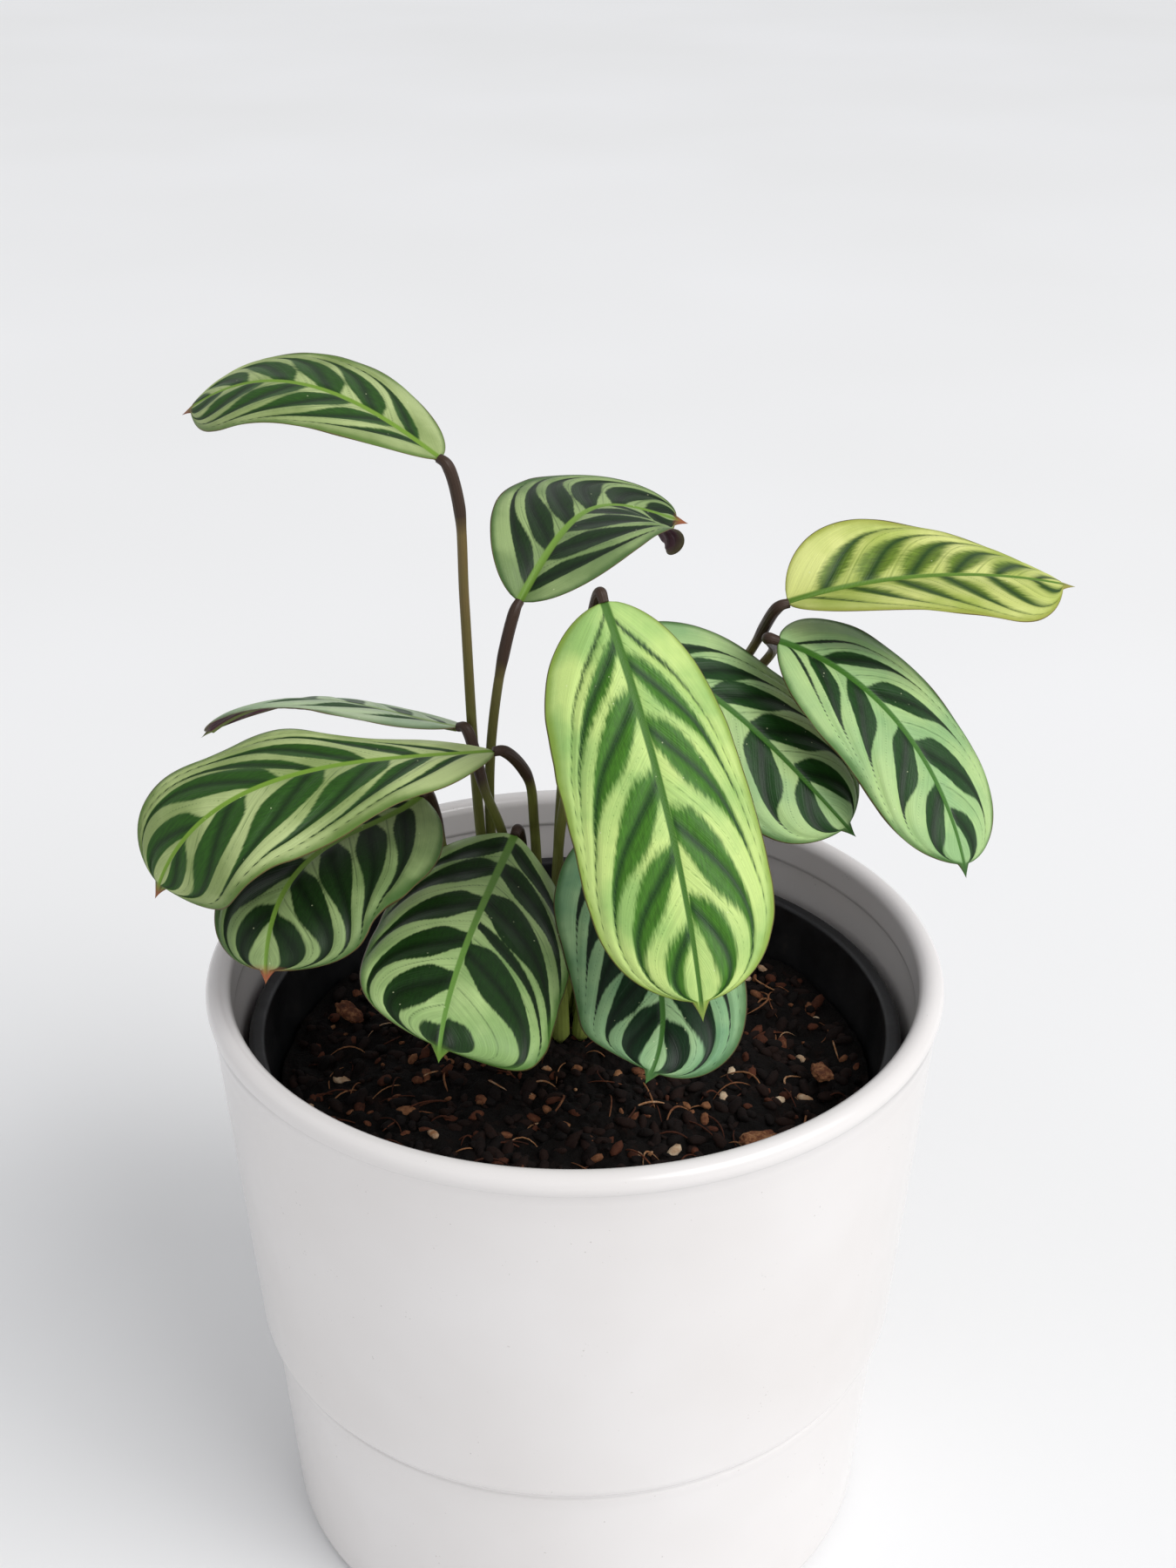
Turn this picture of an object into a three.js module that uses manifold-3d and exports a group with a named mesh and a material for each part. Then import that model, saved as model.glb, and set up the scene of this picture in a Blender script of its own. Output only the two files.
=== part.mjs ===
// A potted ctenanthe: a glazed cover pot holds a thin plastic nursery pot of peat and bark, and a young
// fishbone prayer plant of eleven leaves grows from one clump in it.
// Millimetres, +Z up, -Y is the front. The origin is the centre of the cover pot's flat underside.
import * as THREE from "three";
import { ParametricGeometry } from "three/addons/geometries/ParametricGeometry.js";
import { mergeVertices } from "three/addons/utils/BufferGeometryUtils.js";
import Module from "manifold-3d";

// Driving dimensions of the pots and the soil.
const GAP = 0.3; // clearance kept between touching pieces
const TURN_STEPS = 40; // facets round each turned piece

const COVER_HEIGHT = 120;
const COVER_FOOT_RADIUS = 57.5;
const COVER_STEP_RADIUS = 62.3; // outside, just above the shoulder line low on the wall
const COVER_STEP_HEIGHT = 48;
const COVER_STEP_DEPTH = 2;
const COVER_RIM_RADIUS = 68; // rounded lip, a little proud of the wall
const COVER_WALL = 4;
const COVER_FLOOR = 5;

const NURSERY_RIM_RADIUS = 61; // a 12 cm trade pot
const NURSERY_RIM_TOP = 107;
const NURSERY_RIM_DEPTH = 7;
const NURSERY_RIM_LIP = 1.8; // how far the rolled rim stands out from the wall
const NURSERY_FOOT_RADIUS = 43;
const NURSERY_WALL = 1.2;
const DRAIN_HOLES = 6;
const DRAIN_RADIUS = 4.5;
const DRAIN_CIRCLE = 30;

const SOIL_TOP = 98;
const SOIL_CROWN_RADIUS = 26; // level patch in the middle that the clump stands on

// Driving dimensions of the plant.
const BLADE_THICKNESS = 0.7;
const BLADE_STEPS = 16;
const BLADE_RIBS = 12; // steps round the section: half of them on each face
const SHOULDER = 0.45; // share of the length where a blade is widest
const CUSP_START = 0.955; // share of the length where the pointed tip begins
const CUSP_LENGTH = 0.075; // share of the length that the pointed tip tapers over
const CUSP_HALF = 0.17; // half width of the pointed tip, as a share of the blade's
const STEM_RADIUS = 1.1;
const STEM_SIDES = 6;
const STEM_STEPS = 14;

// Each leaf. rib: four points that the midrib runs through, from the base to the tip. half: widths of
// the two halves. face: where the upper side looks at the base, middle and tip, as azimuth (0 is the
// front, 90 the right) and elevation. fold and curl: degrees that the halves are lifted and rolled by
// at the base, then at the tip. ends: fullness of the base and of the tip. sweep: how far each half
// leans towards the tip. stem: points that the stem runs through, from the soil up to the blade.
const LEAVES = [
  {
    rib: [[-23, 12, 212], [-36, 18, 219], [-52, 24, 222], [-70, 30, 214]],
    half: [14, 14], face: [[0, 80], [0, 76], [0, 74]],
    fold: [[25, -5], [-8, 0]], curl: [[-10, -10], [-15, -15]], ends: [1.8, 3.4],
    stem: [[-14, 11, 98], [-18, 14, 142], [-19.5, 13, 185], [-20, 12, 204]],
  },
  {
    rib: [[-10, 18, 183], [-1, 36, 191], [8, 52, 189], [21, 56, 181]],
    half: [14, 17], face: [[30, 55], [20, 70], [10, 70]],
    fold: [[20, 30], [0, 0]], curl: [[-10, -5], [-20, -15]], ends: [2.2, 3.6], sweep: [0, 0.2],
    stem: [[-12, 14, 98], [-16, 15, 142], [-14, 14, 168]],
  },
  {
    rib: [[5, -8, 194], [11, -20, 179], [17, -35, 160], [21, -50, 138]],
    half: [16, 16.5], face: [[20, 40], [10, 35], [0, 30]],
    fold: [[0, 0], [0, 0]], curl: [[-35, -35], [-20, -20]], ends: [3, 5],
    stem: [[-3, 4, 98], [-3, 5, 140], [2, 3, 172], [3, -2, 187]],
  },
  {
    rib: [[7, 12, 177], [22, 8, 171], [35, 2, 162], [50, -6, 148]],
    half: [15.5, 14.5], face: [[30, 50], [30, 45], [30, 40]],
    fold: [[0, 0], [0, 0]], curl: [[-25, -25], [-25, -25]], ends: [2.8, 4.5],
    stem: [[-2, 13, 98], [-3, 13, 140], [1, 15, 170]],
  },
  {
    rib: [[36, 10, 179], [53, 6, 170], [64, -2, 157], [69, -12, 143]],
    half: [15.5, 14], face: [[30, 60], [40, 50], [40, 25]],
    fold: [[0, 0], [0, 0]], curl: [[-20, -20], [-20, -20]], ends: [2.8, 4.2],
    stem: [[1, 10, 98], [6, 23, 138], [23, 22, 156], [36, 22, 171]],
  },
  {
    rib: [[38, 15, 184], [55, 18, 187], [73, 21, 187], [91, 23, 184]],
    half: [14, 14], face: [[0, 62], [0, 77], [0, 79]],
    fold: [[40, 40], [-15, -15]], curl: [[-10, -10], [-10, -10]], ends: [2.8, 4],
    stem: [[0, 15, 98], [10, 29, 140], [31, 25, 168]],
  },
  {
    rib: [[-14, -2, 163], [-36, -12, 166], [-57, -22, 164], [-71, -26, 147]],
    half: [16.5, 15.5], face: [[0, 86], [-5, 75], [-30, 45]],
    fold: [[15, -5], [-10, 0]], curl: [[-15, -15], [-15, -15]], ends: [1.4, 5],
    sweep: [0.2, 0.25],
    stem: [[-6, 8, 98], [-7.5, 9, 142], [-8.5, 4, 155]],
  },
  {
    rib: [[-21, 12, 161], [-37, 22, 160], [-55, 30, 158], [-73, 36, 147]],
    half: [12.5, 12.5], face: [[0, 110], [0, 112], [0, 104]],
    fold: [[0, 0], [0, 0]], curl: [[-10, -10], [-10, -10]], ends: [1.8, 2.6],
    stem: [[-12, 7, 98], [-13, 9.5, 138], [-16.5, 8.5, 150]],
  },
  {
    rib: [[-28, 6, 150], [-38, -7, 150], [-48, -20, 148], [-52, -34, 135]],
    half: [17.5, 14], face: [[-20, 70], [-30, 60], [-20, 30]],
    fold: [[0, 0], [0, 0]], curl: [[-20, -20], [-20, -20]], ends: [2.2, 5], sweep: [0.15, 0],
    stem: [[-16, 5, 98], [-23, 8, 128], [-26, 10, 145]],
  },
  {
    rib: [[-11, 6, 142], [-16, -16, 140], [-20, -38, 138], [-22, -50, 130]],
    half: [19, 18], face: [[-5, 80], [-5, 75], [-5, 60]],
    fold: [[-8, 0], [-8, 0]], curl: [[-35, -20], [-30, -20]], ends: [3, 6], sweep: [0.4, -0.2],
    stem: [[-8, 3, 98], [-10, 10, 120], [-10, 11, 136]],
  },
  {
    rib: [[6, 2, 146], [11, -14, 138], [15, -30, 130], [12, -43, 121]],
    half: [15.5, 15], face: [[0, 60], [0, 60], [0, 40]],
    fold: [[0, 10], [0, 0]], curl: [[-20, -10], [-20, -20]], ends: [2.6, 5], sweep: [0, 0.12],
    stem: [[1, 5, 98], [4, 9, 125], [4, 8, 142]],
  },
];

// Bark chips on the soil: middle, length, turn about the vertical and tilt in degrees.
const CHIPS = [
  { at: [33, -30], length: 9, turn: 35, tilt: 14 },
  { at: [46, -8], length: 7, turn: 100, tilt: 8 },
  { at: [22, -40], length: 8, turn: -20, tilt: 10 },
  { at: [-30, -38], length: 7, turn: 60, tilt: 12 },
  { at: [-8, -48], length: 6, turn: 15, tilt: 9 },
  { at: [-44, 12], length: 7, turn: -50, tilt: 10 },
  { at: [30, 38], length: 8, turn: 140, tilt: 11 },
];

const wasm = await Module();
wasm.setup();

const glaze = new THREE.MeshStandardMaterial({ color: 0xf2f1f0, roughness: 0.12 });
const blackPlastic = new THREE.MeshStandardMaterial({ color: 0x17181a, roughness: 0.5 });
const peat = new THREE.MeshStandardMaterial({ color: 0x1d120d, roughness: 1 });
const bark = new THREE.MeshStandardMaterial({ color: 0x6b3d26, roughness: 0.9 });
const leaf = new THREE.MeshStandardMaterial({ color: 0x86b05a, roughness: 0.45 });
const stem = new THREE.MeshStandardMaterial({ color: 0x6a7438, roughness: 0.5 });

const ctenanthe = new THREE.Group();

function addMesh(name, geometry, material) {
  const mesh = new THREE.Mesh(geometry, material);
  mesh.name = name;
  ctenanthe.add(mesh);
  return mesh;
}

// A body turned about Z from its [radius, height] profile, listed upwards on the outside.
function turned(profile, steps = TURN_STEPS) {
  const geometry = new THREE.LatheGeometry(
    profile.map(([radius, height]) => new THREE.Vector2(radius, height)),
    steps,
  );
  return geometry.rotateX(Math.PI / 2);
}

// Points of a quarter or half round edge in a profile, from one angle to another.
function arc(radius, height, size, from, to, steps) {
  return Array.from({ length: steps + 1 }, (_, i) => {
    const angle = THREE.MathUtils.degToRad(from + ((to - from) * i) / steps);
    return [radius + size * Math.cos(angle), height + size * Math.sin(angle)];
  });
}

function toSolid(geometry) {
  const bare = geometry.clone();
  bare.deleteAttribute("normal");
  bare.deleteAttribute("uv");
  const merged = mergeVertices(bare, 1e-4);
  return new wasm.Manifold(
    new wasm.Mesh({
      numProp: 3,
      vertProperties: new Float32Array(merged.attributes.position.array),
      triVerts: new Uint32Array(merged.index.array),
    }),
  );
}

function toGeometry(solid) {
  const mesh = solid.getMesh();
  const geometry = new THREE.BufferGeometry();
  geometry.setAttribute("position", new THREE.BufferAttribute(mesh.vertProperties, 3));
  geometry.setIndex(new THREE.BufferAttribute(mesh.triVerts, 1));
  geometry.computeVertexNormals();
  return geometry;
}

// Slip-cast pot: flat foot, plain tapered wall with one rounded shoulder line, rolled lip.
function coverPot() {
  const lip = COVER_WALL / 2 + 0.3;
  const rimMiddle = COVER_RIM_RADIUS - lip;
  const wallTop = COVER_HEIGHT - 2 * lip;
  const footRound = 3;
  const below = COVER_STEP_RADIUS - COVER_STEP_DEPTH;
  return turned([
    [0, 0],
    ...arc(COVER_FOOT_RADIUS - footRound, footRound, footRound, -90, 0, 3),
    [below, COVER_STEP_HEIGHT - 5],
    ...arc(COVER_STEP_RADIUS - 3, COVER_STEP_HEIGHT, 3, -60, 0, 3),
    [COVER_RIM_RADIUS - 0.7, wallTop - 1],
    ...arc(rimMiddle, COVER_HEIGHT - lip, lip, -40, 180, 8),
    [COVER_RIM_RADIUS - 0.7 - COVER_WALL, wallTop - 1],
    [COVER_STEP_RADIUS - COVER_WALL, COVER_STEP_HEIGHT],
    [COVER_FOOT_RADIUS - COVER_WALL, COVER_FLOOR + 4],
    [COVER_FOOT_RADIUS - COVER_WALL - 4, COVER_FLOOR],
    [0, COVER_FLOOR],
  ]);
}

// Vacuum-formed nursery pot with a rolled rim and round drainage holes in its floor.
function nurseryPot() {
  const floor = COVER_FLOOR + GAP;
  const outer = NURSERY_RIM_RADIUS - NURSERY_RIM_LIP;
  const underRim = NURSERY_RIM_TOP - NURSERY_RIM_DEPTH;
  let solid = toSolid(
    turned([
      [0, floor],
      [NURSERY_FOOT_RADIUS - 2, floor],
      [NURSERY_FOOT_RADIUS, floor + 2],
      [outer - 0.4, underRim],
      [NURSERY_RIM_RADIUS - 0.5, underRim],
      [NURSERY_RIM_RADIUS, underRim + 1],
      [NURSERY_RIM_RADIUS, NURSERY_RIM_TOP - 1],
      [NURSERY_RIM_RADIUS - 1, NURSERY_RIM_TOP],
      [outer - NURSERY_WALL + 0.8, NURSERY_RIM_TOP],
      [outer - NURSERY_WALL, NURSERY_RIM_TOP - 0.8],
      [outer - 0.4 - NURSERY_WALL, underRim],
      [NURSERY_FOOT_RADIUS - NURSERY_WALL, floor + 2.4],
      [NURSERY_FOOT_RADIUS - 2 - NURSERY_WALL, floor + NURSERY_WALL],
      [0, floor + NURSERY_WALL],
    ]),
  );
  for (let i = 0; i < DRAIN_HOLES; i++) {
    const angle = (2 * Math.PI * (i + 0.5)) / DRAIN_HOLES;
    const drill = new THREE.CylinderGeometry(DRAIN_RADIUS, DRAIN_RADIUS, 4 * NURSERY_WALL, 12)
      .rotateX(Math.PI / 2)
      .translate(DRAIN_CIRCLE * Math.cos(angle), DRAIN_CIRCLE * Math.sin(angle), floor);
    solid = solid.subtract(toSolid(drill));
  }
  return toGeometry(solid);
}

// Peat that fills the nursery pot, level under the clump and settled a little towards the wall.
function pottingSoil() {
  const floor = COVER_FLOOR + GAP + NURSERY_WALL + GAP;
  const foot = NURSERY_FOOT_RADIUS - NURSERY_WALL - GAP;
  const outer = NURSERY_RIM_RADIUS - NURSERY_RIM_LIP - NURSERY_WALL;
  const slope = (outer - NURSERY_FOOT_RADIUS) / (NURSERY_RIM_TOP - COVER_FLOOR);
  const edgeTop = SOIL_TOP - 2;
  const edge = outer - slope * (NURSERY_RIM_TOP - edgeTop) - 2 * GAP;
  return turned([
    [0, floor],
    [foot - 2.5, floor],
    [foot - 0.3, floor + 3],
    [edge, edgeTop],
    [edge - 6, SOIL_TOP - 1.5],
    [SOIL_CROWN_RADIUS + 6, SOIL_TOP - 0.8],
    [SOIL_CROWN_RADIUS, SOIL_TOP - 2 * GAP],
    [0, SOIL_TOP - 2 * GAP],
  ]);
}

// Unit vector that points to an azimuth from the front and an elevation, both in degrees.
function towards([azimuth, elevation]) {
  const az = THREE.MathUtils.degToRad(azimuth);
  const el = THREE.MathUtils.degToRad(elevation);
  return new THREE.Vector3(Math.sin(az) * Math.cos(el), -Math.cos(az) * Math.cos(el), Math.sin(el));
}

// The one cubic that passes through four points at a third of the way each.
class MidribCurve extends THREE.Curve {
  constructor(points) {
    super();
    this.points = points.map((p) => new THREE.Vector3(...p));
  }
  getPoint(t, target = new THREE.Vector3()) {
    const weights = [
      -4.5 * (t - 1 / 3) * (t - 2 / 3) * (t - 1),
      13.5 * t * (t - 2 / 3) * (t - 1),
      -13.5 * t * (t - 1 / 3) * (t - 1),
      4.5 * t * (t - 1 / 3) * (t - 2 / 3),
    ];
    target.set(0, 0, 0);
    this.points.forEach((p, i) => target.addScaledVector(p, weights[i]));
    return target;
  }
}

// Half width as a share of the blade's: full round base, blunt end, small pointed tip.
function outline(u, [base, tip]) {
  const along = Math.min(u / CUSP_START, 1);
  const low = Math.max(1 - along / SHOULDER, 0);
  const high = Math.max((along - SHOULDER) / (1 - SHOULDER), 0);
  const body = (1 - low ** base) ** 0.55 * (1 - high ** tip) ** 0.6;
  if (u < SHOULDER) return body;
  const cusp = CUSP_HALF * Math.min((1 - u) / CUSP_LENGTH, 1) ** 1.3;
  return Math.max(body, cusp);
}

// Direction of the midrib, of the upper side and across the blade, at a share of the length.
function bladeFrame(spec, curve, u) {
  const along = curve.getTangentAt(u);
  const [base, middle, tip] = spec.face.map(towards);
  const up = new THREE.Vector3()
    .addScaledVector(base, 2 * (u - 0.5) * (u - 1))
    .addScaledVector(middle, -4 * u * (u - 1))
    .addScaledVector(tip, 2 * u * (u - 0.5));
  const across = new THREE.Vector3().crossVectors(along, up).normalize();
  up.crossVectors(across, along);
  return { along, up, across };
}

// A blade as a thin closed skin: each half of its section is an arc, lifted by fold, rolled by curl.
function bladeGeometry(spec) {
  const curve = new MidribCurve(spec.rib);
  const sweep = spec.sweep ?? [0, 0];
  const mix = THREE.MathUtils.lerp;
  function point(around, u, target) {
    const top = around <= 0.5;
    const v = top ? 4 * around - 1 : 3 - 4 * around;
    const side = v < 0 ? 0 : 1;
    const { along, up, across } = bladeFrame(spec, curve, u);
    const width = spec.half[side] * outline(u, spec.ends);
    const fold = THREE.MathUtils.degToRad(mix(spec.fold[0][side], spec.fold[1][side], u));
    const curl = THREE.MathUtils.degToRad(mix(spec.curl[0][side], spec.curl[1][side], u)) || 1e-3;
    const angle = fold + curl * Math.abs(v);
    const out = ((Math.sin(angle) - Math.sin(fold)) / curl) * width;
    const rise = ((Math.cos(fold) - Math.cos(angle)) / curl) * width;
    const skin = (BLADE_THICKNESS / 2) * Math.sqrt(Math.max(1 - v * v, 0)) * Math.min(width / 2, 1);
    target
      .copy(curve.getPointAt(u))
      .addScaledVector(across, Math.sign(v) * out)
      .addScaledVector(up, rise + (top ? skin : -skin))
      .addScaledVector(along, sweep[side] * out);
  }
  const geometry = new ParametricGeometry(point, BLADE_RIBS, BLADE_STEPS);
  // The underside's squares are split along the same diagonals as the top's, so the two never cross.
  const corners = geometry.index.array;
  for (let square = 0; square < BLADE_RIBS * BLADE_STEPS; square++) {
    if (square % BLADE_RIBS < BLADE_RIBS / 2) continue;
    const [a, b, d, , c] = corners.slice(6 * square, 6 * square + 6);
    corners.set([a, b, c, a, c, d], 6 * square);
  }
  return geometry;
}

// A stem: a round rod from the soil, through its points, that meets the blade's base end on.
function stemGeometry(spec) {
  const midrib = new MidribCurve(spec.rib);
  const base = midrib.getPoint(0);
  const along = midrib.getTangentAt(0);
  const path = new THREE.CatmullRomCurve3([
    ...spec.stem.map((p) => new THREE.Vector3(...p)),
    base.clone().addScaledVector(along, -5 * GAP),
    base.clone().addScaledVector(along, -1.5 * GAP),
  ]);
  const section = new THREE.Shape(
    Array.from({ length: STEM_SIDES }, (_, i) => {
      const angle = (2 * Math.PI * i) / STEM_SIDES;
      return new THREE.Vector2(STEM_RADIUS * Math.cos(angle), STEM_RADIUS * Math.sin(angle));
    }),
  );
  return new THREE.ExtrudeGeometry(section, { extrudePath: path, steps: STEM_STEPS });
}

// A flat splinter of bark, thin and blunt at its ends, lying tilted just clear of the peat.
function chipGeometry({ at: [x, y], length, turn, tilt }) {
  const rise = 0.16 * length + 0.5 * length * Math.sin(THREE.MathUtils.degToRad(tilt));
  return new THREE.IcosahedronGeometry(0.5 * length, 1)
    .scale(1, 0.55, 0.3)
    .rotateY(THREE.MathUtils.degToRad(tilt))
    .rotateZ(THREE.MathUtils.degToRad(turn))
    .translate(x, y, SOIL_TOP + rise);
}

addMesh("cover_pot", coverPot(), glaze);
addMesh("nursery_pot", nurseryPot(), blackPlastic);
addMesh("potting_soil", pottingSoil(), peat);
CHIPS.forEach((chip, i) => addMesh(`bark_chip_${i + 1}`, chipGeometry(chip), bark));
LEAVES.forEach((spec, i) => {
  addMesh(`leaf_blade_${i + 1}`, bladeGeometry(spec), leaf);
  addMesh(`leaf_stem_${i + 1}`, stemGeometry(spec), stem);
});

export default ctenanthe;
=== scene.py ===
"""A potted ctenanthe: glazed cover pot, nursery pot, peat and bark, stems and patterned leaves."""
import math

import bmesh
import bpy
import numpy as np
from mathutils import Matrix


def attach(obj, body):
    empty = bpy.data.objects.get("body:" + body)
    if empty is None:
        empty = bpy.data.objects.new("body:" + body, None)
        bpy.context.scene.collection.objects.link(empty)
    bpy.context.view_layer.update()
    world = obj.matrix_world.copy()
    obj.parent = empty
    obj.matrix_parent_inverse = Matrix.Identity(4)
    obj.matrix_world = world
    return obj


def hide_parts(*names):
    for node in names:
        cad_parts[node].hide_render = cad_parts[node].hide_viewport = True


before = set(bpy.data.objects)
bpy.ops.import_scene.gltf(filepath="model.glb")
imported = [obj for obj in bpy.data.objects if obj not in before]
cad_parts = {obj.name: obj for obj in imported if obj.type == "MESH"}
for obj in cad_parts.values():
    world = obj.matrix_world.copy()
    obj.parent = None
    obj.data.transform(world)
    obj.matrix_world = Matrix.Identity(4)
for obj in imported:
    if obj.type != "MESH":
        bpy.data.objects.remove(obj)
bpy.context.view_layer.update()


# ---------------------------------------------------------------------------------------------------
# Cover pot: slip-cast stoneware, dipped in white gloss glaze. The mould leaves one soft shoulder line
# low on the wall, and the lip is rolled outwards. It stands on its flat foot.

MM = 0.001  # metres in a millimetre
COVER_HEIGHT = 120
COVER_FOOT_RADIUS = 57.5
COVER_STEP_RADIUS = 62.3  # outside, just above the shoulder line
COVER_STEP_HEIGHT = 48
COVER_STEP_DEPTH = 2
COVER_RIM_RADIUS = 68
COVER_WALL = 4
COVER_FLOOR = 5
COVER_STEPS = 288  # facets round it
GLAZE_SPECK = 1.1  # mm between iron specks


def linear(hex_colour):
    """The sRGB colour #RRGGBB as linear light, with alpha 1."""
    values = np.array([int(hex_colour[i : i + 2], 16) for i in (1, 3, 5)]) / 255
    light = np.where(values <= 0.04045, values / 12.92, ((values + 0.055) / 1.055) ** 2.4)
    return (*light.tolist(), 1.0)


def node(tree, kind, inputs=(), stops=(), **settings):
    """Adds one node: settings are its own options, inputs are values, sockets or nodes to link (a node
    stands for its first live output), stops are the (place, colour) pairs of a colour ramp."""
    made = tree.nodes.new("ShaderNode" + kind)
    for key, value in settings.items():
        setattr(made, key, value)
    for key, value in dict(inputs).items():
        if isinstance(value, bpy.types.Node):
            value = next(socket for socket in value.outputs if socket.enabled)
        if isinstance(value, bpy.types.NodeSocket):
            tree.links.new(value, made.inputs[key])
        else:
            made.inputs[key].default_value = value
    for i, (place, colour) in enumerate(stops):
        ramp = made.color_ramp.elements
        stop = ramp[i] if i < 2 else ramp.new(place)
        stop.position = place
        stop.color = linear(colour)
    return made


def new_material(name):
    """An empty material, its node tree, and the object's own coordinates for its patterns."""
    material = bpy.data.materials.new(name)
    material.use_nodes = True
    tree = material.node_tree
    tree.nodes.clear()
    return material, tree, node(tree, "TexCoord").outputs["Object"]


def vectors(*parts):
    """Grids of x, y and z, or of x and y, as one grid of vectors."""
    return np.stack(np.broadcast_arrays(*parts), axis=-1)


def full_circle(count):
    """Angles spread evenly round a full circle, in radians."""
    return np.linspace(0, 2 * np.pi, count, endpoint=False)


def walked_along(path):
    """Distance walked along a polyline up to each of its points."""
    return np.concatenate([[0], np.cumsum(np.linalg.norm(np.diff(path, axis=0), axis=1))])


def arc(centre, size, start, end, steps):
    """Points of a round edge in a profile: centre + size * (cos, sin) from one angle to the other."""
    angle = np.radians(np.linspace(start, end, steps))
    return vectors(centre[0] + size * np.cos(angle), centre[1] + size * np.sin(angle))


def densify(profile, spacing):
    """The polyline with points added along its long stretches, no further apart than spacing."""
    points = np.concatenate([np.atleast_2d(part) for part in profile])
    walked = walked_along(points)
    places = np.unique(np.concatenate([walked, np.linspace(0, walked[-1], int(walked[-1] / spacing))]))
    return np.stack([np.interp(places, walked, points[:, i]) for i in range(2)], axis=1)


def turned(profile, steps):
    """A profile of (radius, height) carried round Z: (r cos a, r sin a, h) on a grid."""
    angle = full_circle(steps)
    radius, height = profile[:, :1], profile[:, 1:]
    return vectors(radius * np.cos(angle), radius * np.sin(angle), height)


def quads(rows, columns, wrap=False):
    """The four corner numbers of each cell of a grid; wrap joins the last column to the first."""
    number = np.arange(rows * columns).reshape(rows, columns)
    if wrap:
        number = np.concatenate([number, number[:, :1]], axis=1)
    corners = [number[:-1, :-1], number[:-1, 1:], number[1:, 1:], number[1:, :-1]]
    return np.stack(corners, axis=2).reshape(-1, 4)


def add_object(name, data):
    """A new object in the scene that shows this mesh, light or camera."""
    made = bpy.data.objects.new(name, data)
    bpy.context.scene.collection.objects.link(made)
    return made


def build(name, points, faces, materials, attributes=(), face_material=None):
    """A smooth mesh object at the origin from points in millimetres, with its doubles merged.
    Attributes are one number or one vector a point."""
    mesh = bpy.data.meshes.new(name)
    points = points.reshape(-1, 3)
    mesh.vertices.add(len(points))
    mesh.vertices.foreach_set("co", (points * MM).ravel())
    mesh.loops.add(faces.size)
    mesh.loops.foreach_set("vertex_index", faces.ravel())
    mesh.polygons.add(len(faces))
    mesh.polygons.foreach_set("loop_start", np.arange(len(faces)) * faces.shape[1])
    if face_material is not None:
        mesh.polygons.foreach_set("material_index", face_material)
    mesh.update(calc_edges=True)
    for key, values in dict(attributes).items():
        vector = values.size != len(points)
        layer = mesh.attributes.new(key, "FLOAT_VECTOR" if vector else "FLOAT", "POINT")
        layer.data.foreach_set("vector" if vector else "value", values.ravel())
    merged = bmesh.new()
    merged.from_mesh(mesh)
    bmesh.ops.remove_doubles(merged, verts=merged.verts, dist=1e-3 * MM)
    for face in merged.faces:
        face.smooth = True
    merged.to_mesh(mesh)
    merged.free()
    for material in materials:
        mesh.materials.append(material)
    return add_object(name, mesh)


def gloss_glaze():
    """White stoneware glaze: fired glass over clay, so it is glossy, waves a little and holds specks."""
    material, tree, place = new_material("white_gloss_glaze")
    cloud = node(tree, "TexNoise", {"Vector": place, "Scale": 22, "Detail": 3})
    body = node(tree, "ValToRGB", {"Fac": cloud}, stops=[(0.3, "#DDD9D7"), (0.7, "#E4E1E0")])
    specks = node(tree, "TexVoronoi", {"Vector": place, "Scale": 1 / (GLAZE_SPECK * MM)})
    size = node(tree, "TexNoise", {"Vector": place, "Scale": 160, "Detail": 1})
    small = node(tree, "MapRange",
                 {"Value": size, "From Min": 0.55, "From Max": 0.75, "To Min": 0.0, "To Max": 0.16})
    speck = node(tree, "Math", {0: specks, 1: small}, operation="LESS_THAN")
    shade = node(tree, "Math", {0: speck, 1: 0.35}, operation="MULTIPLY")
    colour = node(tree, "Mix", {"Factor": shade, "A": body, "B": linear("#8C837B")}, data_type="RGBA")
    wave = node(tree, "TexNoise", {"Vector": place, "Scale": 45, "Detail": 2})
    skin = node(tree, "Bump", {"Height": wave, "Strength": 0.12, "Distance": 0.5 * MM})
    matt = node(tree, "MapRange", {"Value": cloud, "To Min": 0.14, "To Max": 0.24})
    shader = node(tree, "BsdfPrincipled",
                  {"Base Color": colour, "Roughness": matt, "IOR": 1.5, "Normal": skin})
    node(tree, "OutputMaterial", {"Surface": shader})
    return material


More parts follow.
